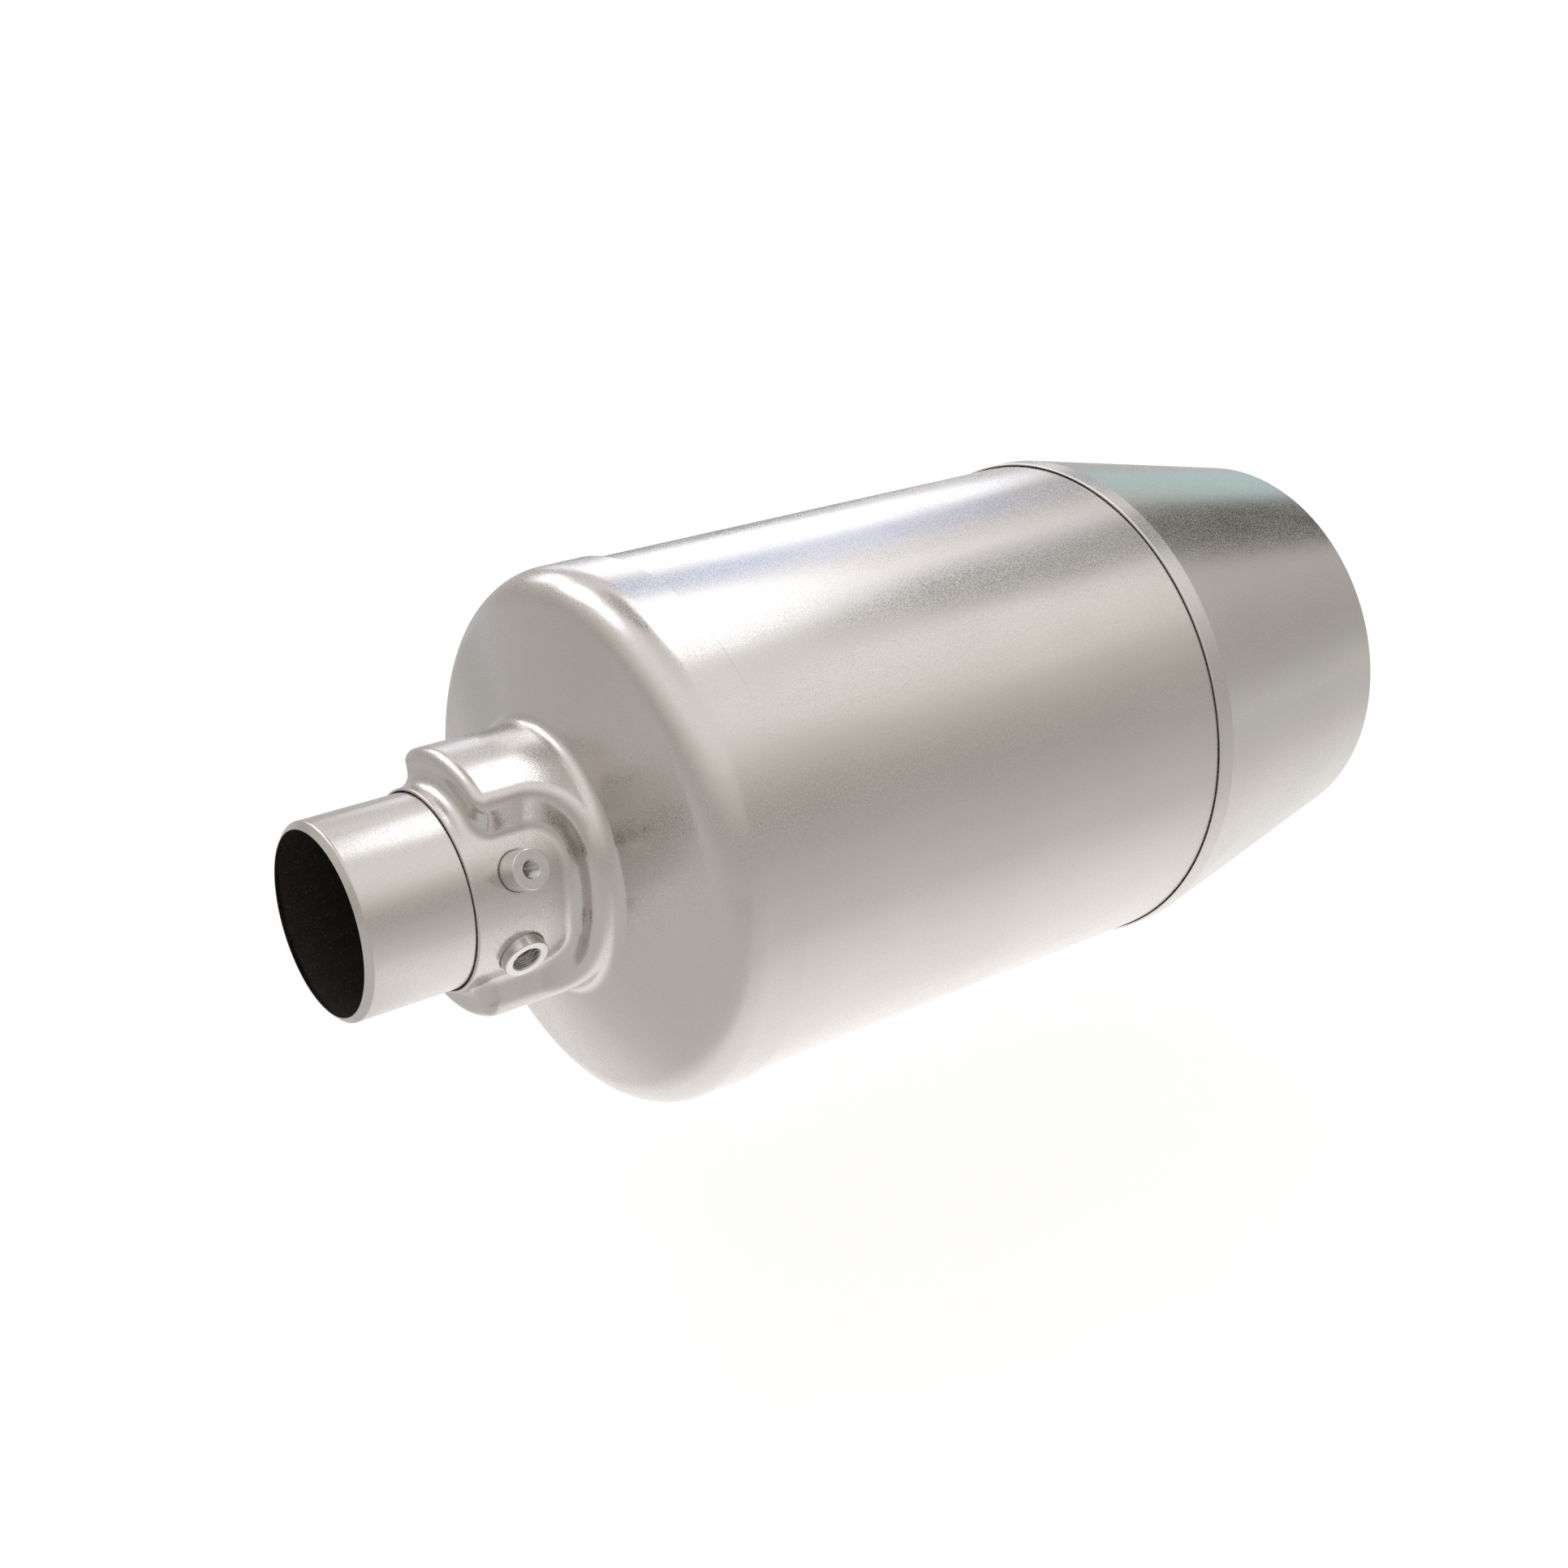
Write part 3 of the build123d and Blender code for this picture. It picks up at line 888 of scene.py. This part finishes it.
@dataclass
class SensorBoss:
    """Turned boss on the pipe, with a saddle base, a chamfered crown and a threaded bore."""

    node: str
    angle: float
    radius: float
    height: float
    bore: float
    countersink: float
    thread: Thread
    station: float = 105.1
    floor_radius: float = 66.0
    saddle_radius: float = 63.05
    chamfer: float = 0.5
    guard: float = 0.3
    swing: float = 0.75
    deepest_cut: float = 2.0
    runout: float = 0.12
    turns: int = 96
    steps_per_pitch: int = 10

    def rings(self) -> tuple[np.ndarray, np.ndarray, np.ndarray]:
        """Rings of the boss, closed from the crown down the outside and up the bore.

        The outer wall and the bore end on the pipe: at distance r from the boss's axis and angle t
        round it, the pipe lies at the root of its radius squared less (r sin t) squared. In the bore
        the radius swells with a clipped cosine of the height over the pitch less the turn, which is
        one helix; its deepest cut and its end are shares of the countersink. Guard rings keep the
        chamfer's shading in the chamfer.

        Returns:
            Turn, radius and height above the pipe's axis, each of shape (rows, columns).
        """
        turn = np.linspace(0, 2 * math.pi, self.turns, endpoint=False)[None]
        top = self.floor_radius + self.height
        pitch, major = self.thread.value

        def pipe(radius: np.ndarray) -> np.ndarray:
            """Height of the pipe under the ring."""
            return np.sqrt(self.saddle_radius ** 2 - (radius * np.sin(turn)) ** 2)

        flat = np.ones_like(turn)
        outer = self.radius * flat
        down = np.array([0.0, 0.03, 0.3, 0.6, 0.97, 1.0])[:, None]
        mouth, rim = self.bore + self.countersink, self.radius - self.chamfer
        crown = np.array([mouth, mouth + self.guard, rim - self.guard, rim])[:, None] * flat
        wall_top = top - self.chamfer
        wall = wall_top + (pipe(outer) - wall_top) * down
        base = pipe(self.bore * flat)
        bore_top = top - self.countersink
        up = np.linspace(0, 1, int((bore_top - base.min()) / pitch * self.steps_per_pitch))[:, None]
        bore_height = base + (bore_top - base) * up
        wave = np.cos(2 * math.pi * (bore_height / pitch - turn / (2 * math.pi)))
        cut = (major - self.bore) * np.clip(0.5 + self.swing * wave, 0, 1)
        bore = self.bore + np.minimum(cut, self.countersink * self.deepest_cut)
        bore[-1] = self.bore + self.countersink * self.runout
        radius = np.concatenate([crown, outer * np.ones_like(down), bore])
        height = np.concatenate([top * np.ones_like(crown), wall, bore_height])
        return np.broadcast_to(turn, radius.shape), radius, height

    def build(self, material: bpy.types.Material) -> None:
        """Builds the boss round its own axis, which leans from -Y by its angle.

        Args:
            material: its finish.
        """
        turn, radius, height = self.rings()
        lean = math.radians(self.angle)
        across = radius * np.sin(turn)
        points = np.stack([
            self.station + radius * np.cos(turn),
            across * math.sin(lean) - height * math.cos(lean),
            across * math.cos(lean) + height * math.sin(lean)], -1)
        marks = run_marks(np.stack([radius[:, 0], height[:, 0]], -1))
        piece = skin(self.node + "_turned", points, marks, True, Shade.EDGED)
        settle(piece, self.node, material)


@dataclass
class MainShell:
    """Rolled outer cylinder between the housing and the inlet cone."""

    start: float = 205.04
    end: float = 604.04
    radius: float = 177.5
    sheet: float = 2.0

    def build(self, material: bpy.types.Material) -> None:
        """Builds the cylinder with its wall.

        Args:
            material: its finish.
        """
        inner = self.radius - self.sheet
        profile = bent_profile([
            (self.start, self.radius, 0.3), (self.end, self.radius, 0.3), (self.end, inner, 0.3),
            (self.start, inner, 0.3)], True)
        settle(turned("main_shell_cylinder", profile), "main_shell", material)


@dataclass
class InletEnd:
    """Inlet cone with its band over the shell, and the thin liner inside it."""

    band_start: float = 594.04
    cone_start: float = 606.94
    end: float = 799.54
    band_radius: float = 179.6
    mouth_radius: float = 142.0
    sheet: float = 2.0
    lip: float = 1.2
    relief: float = 0.7
    relief_depth: float = 2.5
    liner_start: float = 586.04
    liner_taper_start: float = 608.04
    seam_start: float = 787.54
    liner_radius: float = 160.2
    liner_seam_radius: float = 142.1
    liner_mouth_radius: float = 139.76
    liner_sheet: float = 1.5
    columns: int = 288

    def cone(self) -> np.ndarray:
        """Band and cone, the inner side one sheet below the outer and eased at the band's lip.

        Returns:
            Their closed profile.
        """
        slope = (self.band_radius - self.mouth_radius) / (self.end - self.cone_start)
        drop = self.sheet * math.hypot(1, slope)
        inner = self.band_radius - self.sheet
        return bent_profile([
            (self.band_start, self.band_radius, self.lip), (self.cone_start, self.band_radius, 1.6),
            (self.end, self.mouth_radius, 0.35), (self.end, self.mouth_radius - drop, 0.25),
            (self.cone_start - 0.2, inner, 0.5), (self.band_start + self.relief_depth, inner, 0.5),
            (self.band_start, inner + self.relief, 0.1)], True)

    def liner(self) -> np.ndarray:
        """The liner's skirt, taper and seam.

        Returns:
            Their closed profile.
        """
        return sheet_profile([
            (self.liner_start, self.liner_radius, 0.0), (self.liner_taper_start, self.liner_radius, 6.0),
            (self.seam_start, self.liner_seam_radius, 6.0), (self.end, self.liner_mouth_radius, 0.0)],
            self.liner_sheet)

    def build(self, outer: bpy.types.Material, inner: bpy.types.Material) -> None:
        """Builds cone and liner, each with its own finish."""
        settle(turned("inlet_cone_sheet", self.cone(), self.columns), "inlet_cone", outer)
        settle(turned("inlet_liner_sheet", self.liner()), "inlet_liner", inner)


@dataclass
class OutletFunnel:
    """Thin inner funnel that leads the gas from the catalyst into the pipe."""

    grip_start: float = 154.02
    throat_end: float = 169.32
    throat_radius: float = 64.65
    knuckle_station: float = 194.74
    skirt_radius: float = 160.2
    skirt_end: float = 224.74
    throat_round: float = 10.0
    knuckle: float = 15.0
    sheet: float = 1.5

    def build(self, material: bpy.types.Material) -> None:
        """Builds the funnel.

        Args:
            material: its finish.
        """
        profile = sheet_profile([
            (self.grip_start, self.throat_radius, 0.0),
            (self.throat_end, self.throat_radius, self.throat_round),
            (self.knuckle_station, self.skirt_radius, self.knuckle),
            (self.skirt_end, self.skirt_radius, 0.0)], self.sheet)
        settle(turned("outlet_funnel_sheet", profile), "outlet_funnel", material)


@dataclass
class OutletInsulation:
    """Moulded fibre between the end face and the funnel, from behind the two pockets on."""

    start: float = 147.2
    bore: float = 63.35
    neck_radius: float = 84.6
    foot: float = 160.8
    knuckle_foot: float = 184.6
    cap_radius: float = 177.2
    end: float = 204.6
    knuckle: float = 24.7
    skirt_radius: float = 160.6
    skirt_start: float = 194.3
    throat_start: float = 168.9
    throat_radius: float = 65.1
    grip_start: float = 153.6

    def build(self, material: bpy.types.Material) -> None:
        """Builds the moulding.

        Args:
            material: its finish.
        """
        profile = bent_profile([
            (self.start, self.bore, 0.0), (self.start, self.neck_radius, 3.0),
            (self.foot, self.neck_radius, 6.0), (self.knuckle_foot, self.cap_radius, self.knuckle),
            (self.end, self.cap_radius, 0.0), (self.end, self.skirt_radius, 0.0),
            (self.skirt_start, self.skirt_radius, 14.0), (self.throat_start, self.throat_radius, 9.0),
            (self.grip_start, self.throat_radius, 0.0), (self.grip_start, self.bore, 0.0)], True)
        settle(turned("outlet_insulation_felt", profile), "outlet_insulation", material)


@dataclass
class CatalystCore:
    """Can, bricks, mats, rings, distributor and insulation, whose CAD shapes stay."""

    sheets: tuple[str, ...] = (
        "inner_can", "flow_distributor", "outlet_end_ring", "rear_spacer_ring", "front_spacer_ring",
        "inlet_end_ring")
    bricks: tuple[str, ...] = ("slip_brick", "rear_reduction_brick", "front_reduction_brick")
    felts: tuple[str, ...] = (
        "slip_mat", "rear_reduction_mat", "front_reduction_mat", "shell_insulation", "inlet_insulation")

    def build(self, steel: bpy.types.Material, ceramic: bpy.types.Material, felt: bpy.types.Material) -> None:
        """Dresses the CAD nodes.

        Args:
            steel: finish of the sheets.
            ceramic: finish of the bricks.
            felt: finish of mats and insulation.
        """
        dress(self.sheets, steel)
        dress(self.bricks, ceramic)
        dress(self.felts, felt)


# Studio


@dataclass
class Panel:
    """A soft patch of the light tent: where it stands, how wide it is and how it changes the light."""

    azimuth: float
    elevation: float
    half_width: float
    change: Colour
    fade: float = 2.0

    def direction(self) -> Place:
        """Unit vector to the patch."""
        around, up = math.radians(self.azimuth), math.radians(self.elevation)
        return (math.sin(around) * math.cos(up), -math.cos(around) * math.cos(up), math.sin(up))


@dataclass
class Studio:
    """White world, a large light tent that the camera doesn't see, and a pale floor under the part.

    Lengths are in metres, but the paper's grain is in millimetres. The horizon gives the tent's colour
    at each elevation.
    """

    tent_radius: float = 2.2
    tent_centre: Place = (0.4, 0.0, 0.0)
    tent_grid: tuple[int, int] = (48, 96)
    world_grey: float = 0.95
    world_strength: float = 0.8
    floor_height: float = -0.30
    floor_radius: float = 2.1
    floor_grid: tuple[int, int] = (24, 96)
    glow_centre: float = 0.5
    near_glow: Colour = (1.24, 1.22, 1.21)
    middle_glow: Colour = (0.73, 0.71, 0.70)
    far_glow: Colour = (0.60, 0.59, 0.58)
    near_fall: Pair = (0.1, 1.2)
    far_fall: Pair = (1.2, 3.0)
    outlet_side: Pair = (-0.51, -0.345)
    outlet_shade: float = 0.88
    paper_grain: float = 35
    paper_grey: Colour = (0.96, 0.96, 0.96)
    paper_shade: Colour = (0.93, 0.93, 0.93)
    paper_lift: float = 1.14
    lifted_share: float = 0.72
    horizon: tuple[tuple[float, Colour], ...] = (
        (-90.0, (0.96, 0.96, 0.96)), (-20.0, (0.70, 0.68, 0.66)), (-5.0, (0.60, 0.585, 0.57)),
        (2.0, (0.54, 0.525, 0.51)), (10.0, (0.50, 0.48, 0.46)), (17.0, (0.54, 0.52, 0.49)),
        (28.0, (0.69, 0.66, 0.63)), (37.0, (0.82, 0.79, 0.76)), (46.0, (0.96, 0.94, 0.92)),
        (56.0, (1.0, 0.98, 0.97)), (68.0, (0.96, 0.94, 0.93)), (80.0, (0.84, 0.82, 0.80)))
    panels: tuple[Panel, ...] = (
        Panel(111.0, 67.0, 9.0, (1.1, 1.17, 1.25), 6.0),
        Panel(134.0, 59.0, 8.0, (1.25, 1.3, 1.42), 6.0),
        Panel(144.0, 21.0, 10.0, (1.2, 1.28, 1.45), 4.0),
        Panel(157.0, 17.0, 8.5, (0.74, 0.78, 0.92), 4.0),
        Panel(-156.0, 40.0, 10.5, (1.7, 1.76, 1.95), 2.0),
        Panel(-136.0, 50.0, 8.0, (1.1, 1.15, 1.3), 4.0),
        Panel(-174.0, 27.0, 8.0, (1.3, 1.36, 1.5), 3.0),
        Panel(137.0, 38.0, 7.5, (0.06, 0.14, 0.4), 5.0),
        Panel(118.0, 13.0, 9.5, (0.03, 0.22, 0.25), 4.0),
        Panel(99.0, 26.0, 8.5, (-0.52, -0.50, -0.48), 6.0),
        Panel(91.0, 48.0, 10.0, (-0.49, -0.47, -0.46), 4.0),
        Panel(108.0, 49.0, 5.5, (0.22, 0.22, 0.28), 3.0),
        Panel(147.0, 40.0, 6.0, (-0.23, -0.19, -0.1), 3.0),
        Panel(123.0, 32.0, 7.0, (-0.22, -0.20, -0.16), 3.0),
        Panel(175.0, 66.0, 13.0, (-0.45, -0.45, -0.47), 5.0),
        Panel(148.0, -6.0, 9.0, (-0.32, -0.31, -0.29), 3.0),
        Panel(-168.0, -14.0, 14.0, (0.04, 0.07, 0.13), 6.0),
        Panel(58.0, 42.0, 13.0, (0.13, 0.13, 0.13), 4.0),
        Panel(70.0, -13.0, 12.0, (0.11, 0.11, 0.1), 5.0),
        Panel(26.0, 24.0, 12.0, (-0.06, -0.06, -0.06), 4.0),
    )

    def world(self) -> None:
        """Makes a world that is white to camera, glossy and transmission rays, and milder to the rest."""
        graph = Graph("white_studio", world=True)
        rays = graph.node("ShaderNodeLightPath").outputs
        seen = graph.calc("ADD", rays["Is Camera Ray"], rays["Is Glossy Ray"], True)
        seen = graph.calc("ADD", seen, rays["Is Transmission Ray"], True)
        grey = (self.world_grey, self.world_grey, self.world_grey)
        mild = graph.node("ShaderNodeBackground", {"Color": grey, "Strength": self.world_strength})
        white = graph.node("ShaderNodeBackground", {"Color": (1, 1, 1)})
        bpy.context.scene.world = graph.close(graph.node("ShaderNodeMixShader", {
            0: seen, 1: mild.outputs[0], 2: white.outputs[0]}))

    def tent_light(self) -> bpy.types.Material:
        """Makes the tent's glow: a colour for each elevation, changed inside the round patches.

        Returns:
            The material.
        """
        graph = Graph("tent_light")
        toward = graph.vector("SUBTRACT", graph.coordinates.outputs["Object"], self.tent_centre)
        toward = graph.vector("NORMALIZE", toward)
        height = graph.node("ShaderNodeSeparateXYZ", {0: toward}).outputs[2]
        ramp = graph.node("ShaderNodeValToRGB", {0: graph.spread(height, 0.0, 1.0, -1.0, 1.0)})
        stops = ramp.color_ramp.elements
        while len(stops) < len(self.horizon):
            stops.new(0.5)
        for stop, (elevation, colour) in zip(stops, self.horizon):
            stop.position = 0.5 + 0.5 * math.sin(math.radians(elevation))
            stop.color = (*colour, 1)
        light = ramp.outputs[0]
        for panel in self.panels:
            facing = graph.vector("DOT_PRODUCT", toward, panel.direction(), out="Value")
            patch = graph.node("ShaderNodeMapRange", {
                "Value": facing, "From Min": math.cos(math.radians(panel.half_width + panel.fade)),
                "From Max": math.cos(math.radians(panel.half_width - panel.fade))},
                interpolation_type="SMOOTHSTEP").outputs[0]
            light = graph.vector("ADD", light, graph.vector("MULTIPLY", panel.change, patch))
        return graph.close(graph.node("ShaderNodeEmission", {"Color": light, "Strength": 1.0}))

    def tent(self) -> None:
        """Builds the tent, a sphere whose point at two angles lies at the radius times their unit vector."""
        rings, columns = self.tent_grid
        rise = np.radians(np.linspace(-89.9, 89.9, rings))[:, None]
        turn = np.linspace(0, 2 * math.pi, columns, endpoint=False)[None]
        reach = self.tent_radius / MM
        points = reach * np.stack([
            np.cos(rise) * np.cos(turn), np.cos(rise) * np.sin(turn), np.sin(rise) + 0 * turn], -1)
        points = points + np.array(self.tent_centre) / MM
        tent = skin("light_tent", points, np.arange(float(rings)), False, Shade.SKIN)
        tent.data.materials.append(self.tent_light())
        tent.visible_camera = False

    def floor_paper(self) -> bpy.types.Material:
        """Makes the floor's paper.

        The camera sees pale paper, most of it lit from within, so that only the part's soft shadow
        shows. Other rays see a glow that falls off with the distance from the glow's centre, counted
        double across X, and that is held back on the outlet's side.

        Returns:
            The material.
        """
        graph = Graph("pale_floor")
        centre = (self.glow_centre, 0, self.floor_height)
        place = graph.vector("SUBTRACT", graph.coordinates.outputs["Object"], centre)
        along = graph.node("ShaderNodeSeparateXYZ", {0: place}).outputs[0]
        left = graph.spread(along, 1.0, 0.0, *self.outlet_side)
        away = graph.vector("LENGTH", graph.vector("MULTIPLY", place, (1, 2, 0)), out="Value")
        near = graph.calc("ADD", graph.spread(away, 0.0, 1.0, *self.near_fall), left, True)
        far = graph.spread(away, 0.0, 1.0, *self.far_fall)
        tone = graph.blend(graph.noise(self.paper_grain, 3), self.paper_shade, self.paper_grey)
        matt = graph.node("ShaderNodeBsdfDiffuse", {"Color": tone}).outputs[0]
        lift = graph.node("ShaderNodeEmission", {
            "Color": (1, 1, 1), "Strength": self.paper_lift}).outputs[0]
        shown = graph.node("ShaderNodeMixShader", {0: self.lifted_share, 1: matt, 2: lift}).outputs[0]
        glow = graph.blend(far, graph.blend(near, self.near_glow, self.middle_glow), self.far_glow)
        shade = graph.spread(left, 1.0, self.outlet_shade, 0.0, 1.0)
        light = graph.node("ShaderNodeEmission", {"Color": glow, "Strength": shade}).outputs[0]
        seen = graph.node("ShaderNodeLightPath").outputs["Is Camera Ray"]
        return graph.close(graph.node("ShaderNodeMixShader", {0: seen, 1: light, 2: shown}))

    def floor(self) -> None:
        """Builds the floor, a disc whose point at a radius and a turn lies at their sine and cosine."""
        rings, columns = self.floor_grid
        radius = np.linspace(0.001, self.floor_radius, rings)[:, None] / MM
        turn = np.linspace(0, 2 * math.pi, columns, endpoint=False)[None]
        centre = np.array([self.tent_centre[0], 0, self.floor_height]) / MM
        points = centre + np.stack([radius * np.cos(turn), radius * np.sin(turn), 0 * radius * turn], -1)
        floor = skin("pale_floor", points, np.arange(float(rings)), False, Shade.SKIN)
        floor.data.materials.append(self.floor_paper())

    def build(self) -> None:
        """Builds world, tent and floor."""
        self.world()
        self.tent()
        self.floor()
        bpy.context.scene.view_settings.view_transform = "Standard"
        log.info("studio ready")


@dataclass
class PhotoCamera:
    """Camera at the photograph's place, in metres, with its sideways, upward and backward axes."""

    place: Place = (-0.4849, -1.1026, 0.6142)
    right: Place = (0.7965, -0.6046, 0.0)
    up: Place = (0.2460, 0.3241, 0.9135)
    back: Place = (-0.5523, -0.7276, 0.4069)
    lens: float = 50.37
    sensor: float = 36.0
    reach: float = 100.0

    def build(self) -> None:
        """Makes the camera and lets the scene use it."""
        data = bpy.data.cameras.new("photo_camera")
        data.lens = self.lens
        data.sensor_width = self.sensor
        data.sensor_fit = "HORIZONTAL"
        data.clip_end = self.reach
        camera = bpy.data.objects.new("photo_camera", data)
        axes = np.array([self.right, self.up, self.back]).T
        turn = Matrix(axes.tolist()).to_quaternion()
        camera.matrix_world = Matrix.LocRotScale(self.place, turn, None)
        bpy.context.scene.collection.objects.link(camera)
        bpy.context.scene.camera = camera


def main() -> None:
    """Builds the camera, the studio and every sub-assembly in order."""
    logging.basicConfig(level=logging.INFO, format="%(name)s: %(message)s")
    PhotoCamera().build()
    Studio().build()
    casing = BlastedSteel("blasted_casing").material()
    pipe_steel = BlastedSteel("blasted_pipe", grain=1.2).material()
    cone_steel = BlastedSteel("blasted_cone", colour=(0.655, 0.635, 0.605)).material()
    machined = TurnedSteel("turned_boss").material()
    rolled = RolledSteel("rolled_liner").material()
    # Painted shade: the bore's near-black colour stands in for the dark inside of the pipe, with light specks
    # on it
    painted_shade_bore = RolledSteel(
        "bore_painted_shade", colour=(0.032, 0.026, 0.023), roughness=0.62, metal=0.35, speckle=0.16).material()
    OutletPipe().build(pipe_steel, painted_shade_bore)
    EndHousing().build(casing)
    SensorBoss("temperature_sensor_boss", angle=25.0, radius=12.6, height=18.5, bore=5.4, countersink=0.6,
               thread=Thread.M12).build(machined)
    SensorBoss("nox_sensor_boss", angle=-25.0, radius=15.0, height=6.0, bore=9.25, countersink=0.75,
               thread=Thread.M20).build(machined)
    MainShell().build(casing)
    InletEnd().build(cone_steel, rolled)
    OutletFunnel().build(rolled)
    felt = FibreFelt("fibre_felt").material()
    OutletInsulation().build(felt)
    CatalystCore().build(rolled, Honeycomb("coated_honeycomb").material(), felt)


if __name__ == "__main__":
    main()
